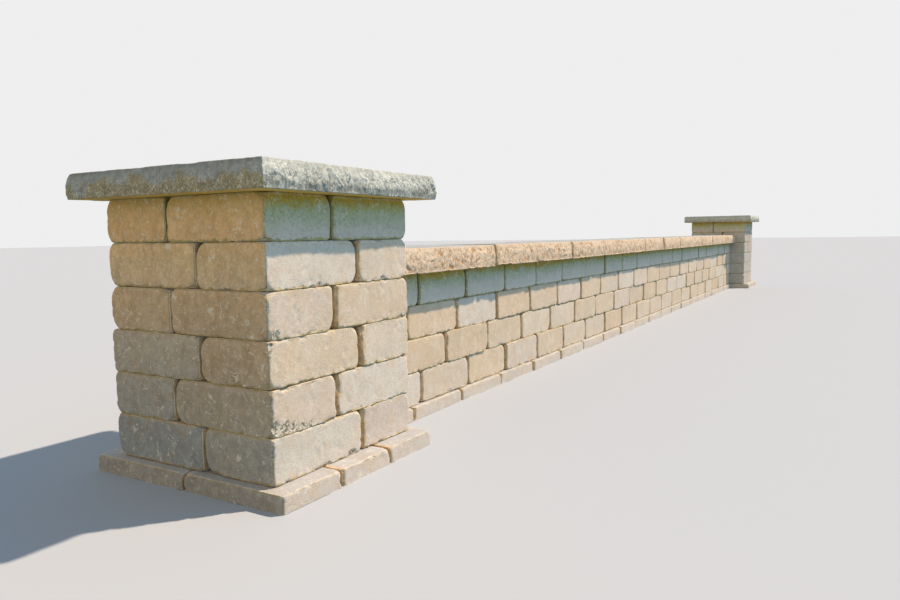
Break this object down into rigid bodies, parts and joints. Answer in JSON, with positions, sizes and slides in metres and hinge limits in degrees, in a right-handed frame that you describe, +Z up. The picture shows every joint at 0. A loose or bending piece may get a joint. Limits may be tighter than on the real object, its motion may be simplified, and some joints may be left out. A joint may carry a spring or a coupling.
{
  "type": "tumbled block garden wall between two pillars",
  "caption": "Low dry-laid garden seat wall of tumbled concrete blocks with rock-faced coping, butting against a capped square pillar at each end.",
  "frame": {"origin": "on the ground under the middle of the wall, which is the bottom centre of the whole part", "axes": "+X along the wall from the near pillar to the far pillar, +Y across it towards the back, +Z up"},
  "size_m": [7.104, 0.634, 0.712],
  "materials": {
    "tumbled_block": "matt tumbled concrete in cream, buff, tan and light grey",
    "base_block": "matt tumbled concrete, pinkish tan, soiled by the ground",
    "coping_stone": "buff split rock face with a smooth pale top",
    "cap_stone": "grey rock-faced concrete with darker pits and moss stains"
  },
  "bodies": {
    "root": {"near_pillar_base_course": "base_block", "near_pillar_course_1": "tumbled_block", "near_pillar_course_2": "tumbled_block", "near_pillar_course_3": "tumbled_block", "near_pillar_course_4": "tumbled_block", "near_pillar_course_5": "tumbled_block", "near_pillar_course_6": "tumbled_block", "near_pillar_cap": "cap_stone", "wall_base_course": "base_block", "wall_course_1": "tumbled_block", "wall_course_2": "tumbled_block", "wall_course_3": "tumbled_block", "wall_course_4": "tumbled_block", "wall_coping_1": "coping_stone", "wall_coping_2": "coping_stone", "wall_coping_3": "coping_stone", "wall_coping_4": "coping_stone", "wall_coping_5": "coping_stone", "wall_coping_6": "coping_stone", "wall_coping_7": "coping_stone", "wall_coping_8": "coping_stone", "wall_coping_9": "coping_stone", "wall_coping_10": "coping_stone", "far_pillar_base_course": "base_block", "far_pillar_course_1": "tumbled_block", "far_pillar_course_2": "tumbled_block", "far_pillar_course_3": "tumbled_block", "far_pillar_course_4": "tumbled_block", "far_pillar_course_5": "tumbled_block", "far_pillar_course_6": "tumbled_block", "far_pillar_cap": "cap_stone"}
  },
  "joints": []
}
